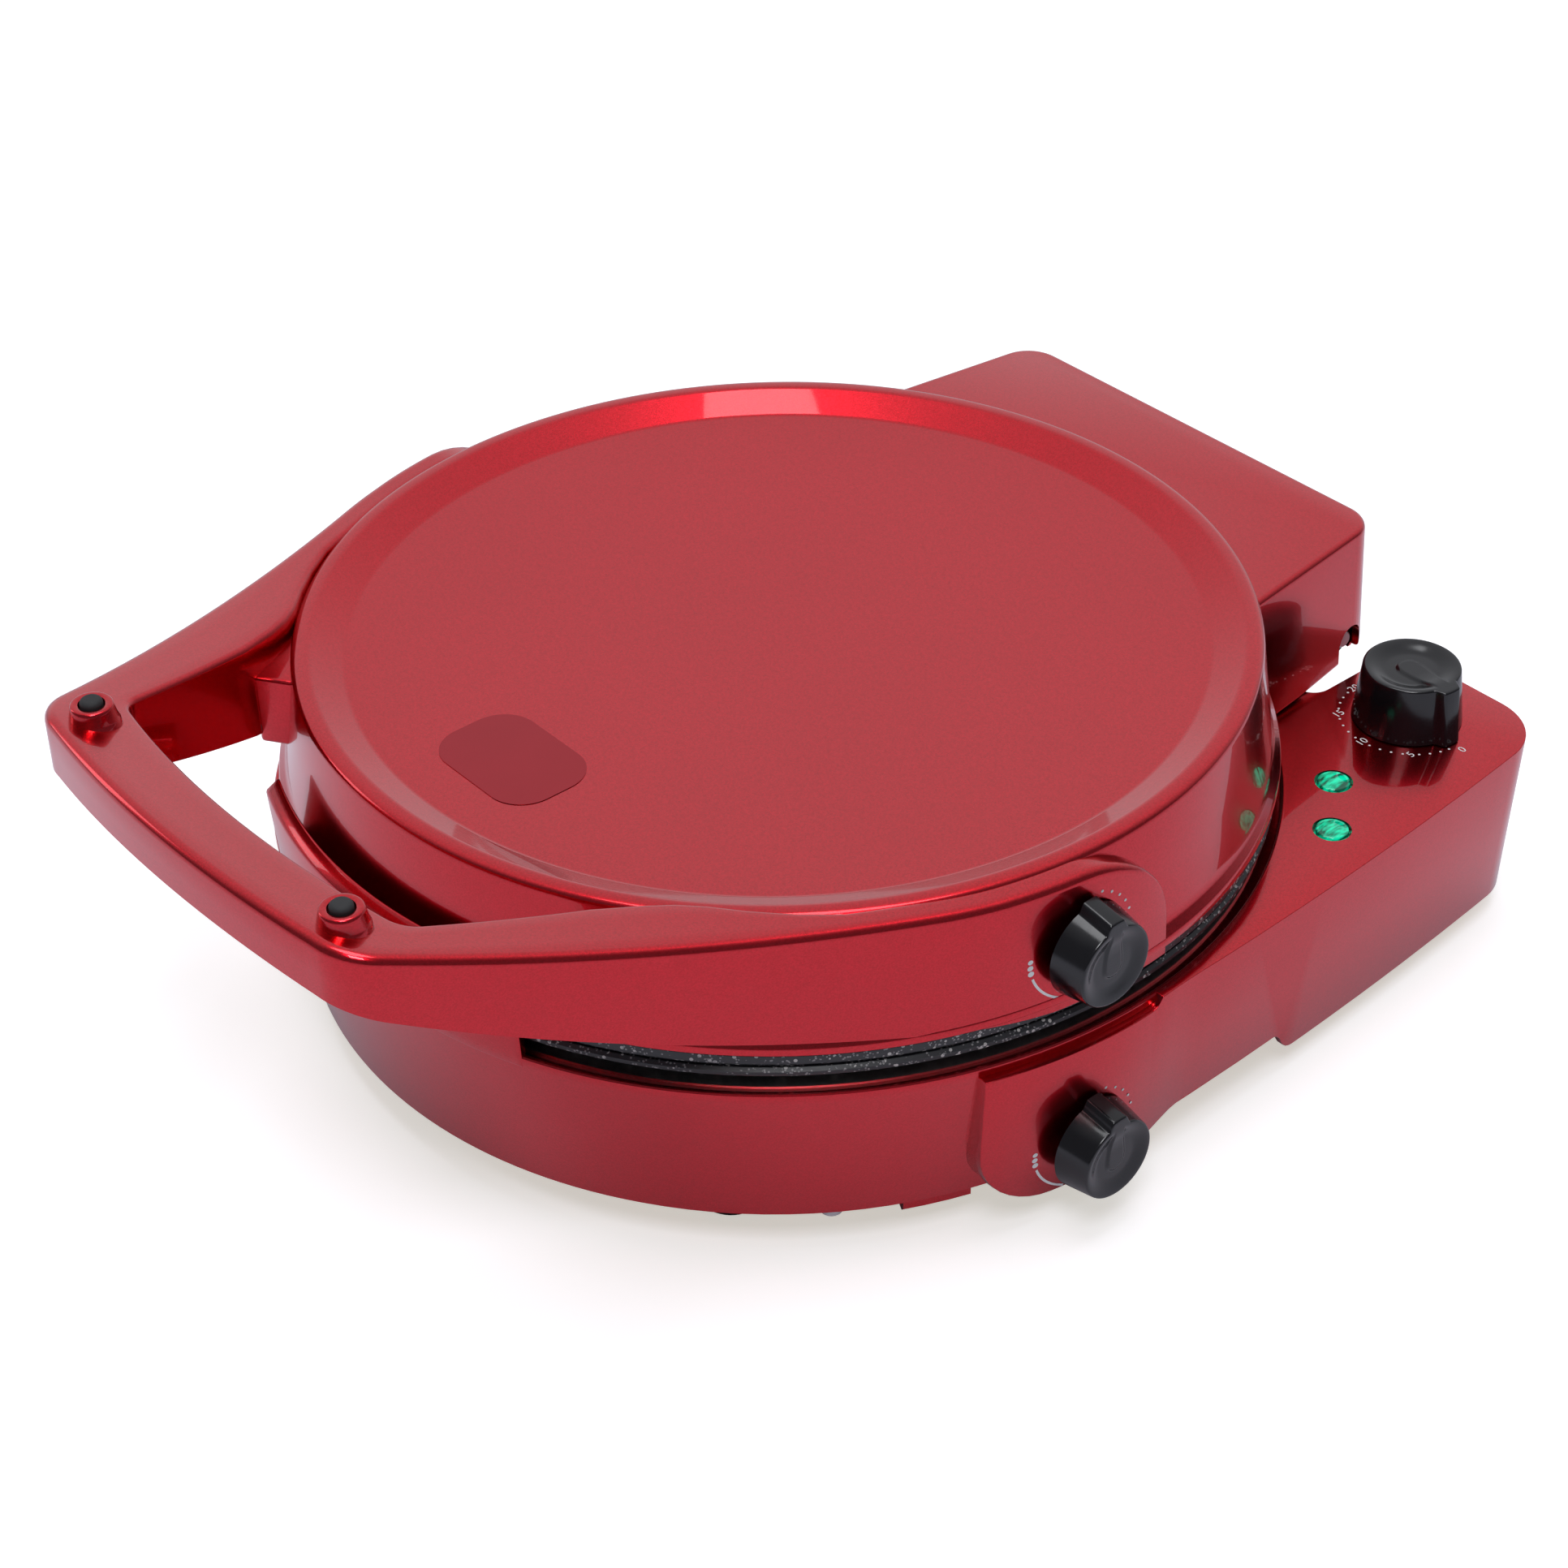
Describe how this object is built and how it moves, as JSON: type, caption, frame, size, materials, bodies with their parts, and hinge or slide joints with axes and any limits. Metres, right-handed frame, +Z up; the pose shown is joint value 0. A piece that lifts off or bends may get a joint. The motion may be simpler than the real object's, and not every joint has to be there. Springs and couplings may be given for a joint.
{
  "type": "electric pizza maker",
  "caption": "Countertop electric pizza maker: round hinged lid and base with two heated plates, a loop handle, side temperature knobs and a rear timer console.",
  "frame": {"origin": "on the table, under the middle of the plan of the shut machine", "axes": "+Z up, +Y to the rear where the hinge is, +X to the side with the temperature knobs"},
  "size_m": [0.3466, 0.4308, 0.158],
  "materials": {
    "red_paint": "gloss metallic red lacquer",
    "black_plastic": "satin moulded",
    "knob_black": "gloss moulded",
    "plate_coating": "speckled non-stick coating over cast aluminium",
    "pan_steel": "rolled sheet",
    "heater_sheath": "dull heated tube",
    "screw_steel": "zinc plated",
    "foot_rubber": "matt",
    "lens_green": "clear tinted",
    "lamp_glass": "clear",
    "ceramic_white": "unglazed",
    "patch_film": "printed film, bare"
  },
  "bodies": {
    "base": {"base_housing": "red_paint", "base_bottom_cover": "red_paint", "hinge_bracket_left": "black_plastic", "hinge_bracket_right": "black_plastic", "base_screws": "screw_steel", "hinge_bracket_screws": "screw_steel", "rubber_feet": "foot_rubber", "lower_plate": "plate_coating", "lower_reflector_pan": "pan_steel", "lower_element_clips": "pan_steel", "lower_heating_element": "heater_sheath", "lower_thermostat": "ceramic_white", "terminal_block": "ceramic_white", "timer_body": "black_plastic", "indicator_lens_rear": "lens_green", "indicator_lens_front": "lens_green", "indicator_lamps": "lamp_glass", "cord_gland": "black_plastic"},
    "lid": {"lid_housing": "red_paint", "handle_lower_cover": "black_plastic", "lid_hinge_frame": "black_plastic", "hinge_pin_left": "screw_steel", "hinge_pin_right": "screw_steel", "handle_feet": "foot_rubber", "upper_plate": "plate_coating", "upper_reflector_pan": "pan_steel", "upper_heating_element": "heater_sheath", "upper_element_clips": "pan_steel", "upper_thermostat": "ceramic_white", "thermal_fuse": "ceramic_white", "lid_patch": "patch_film"},
    "upper_control": {"upper_temperature_knob": "knob_black", "upper_control_shaft": "screw_steel"},
    "lower_control": {"lower_temperature_knob": "knob_black", "lower_control_shaft": "screw_steel"},
    "timer_control": {"timer_knob": "knob_black", "timer_shaft": "screw_steel"}
  },
  "joints": [
    {"name": "lid_hinge", "type": "hinge", "parent": "base", "child": "lid", "pos_m": [0, 0.1943, 0.079], "axis": [-1, 0, 0], "range_deg": [0, 180]},
    {"name": "upper_temperature_turn", "type": "hinge", "parent": "lid", "child": "upper_control", "pos_m": [0.1632, -0.0084, 0.1005], "axis": [-1, 0, 0], "range_deg": [-155, 130]},
    {"name": "lower_temperature_turn", "type": "hinge", "parent": "base", "child": "lower_control", "pos_m": [0.1632, -0.0084, 0.029], "axis": [-1, 0, 0], "range_deg": [-155, 130]},
    {"name": "timer_turn", "type": "hinge", "parent": "base", "child": "timer_control", "pos_m": [0.1132, 0.1858, 0.08], "axis": [0, 0, -1], "range_deg": [0, 262]}
  ]
}
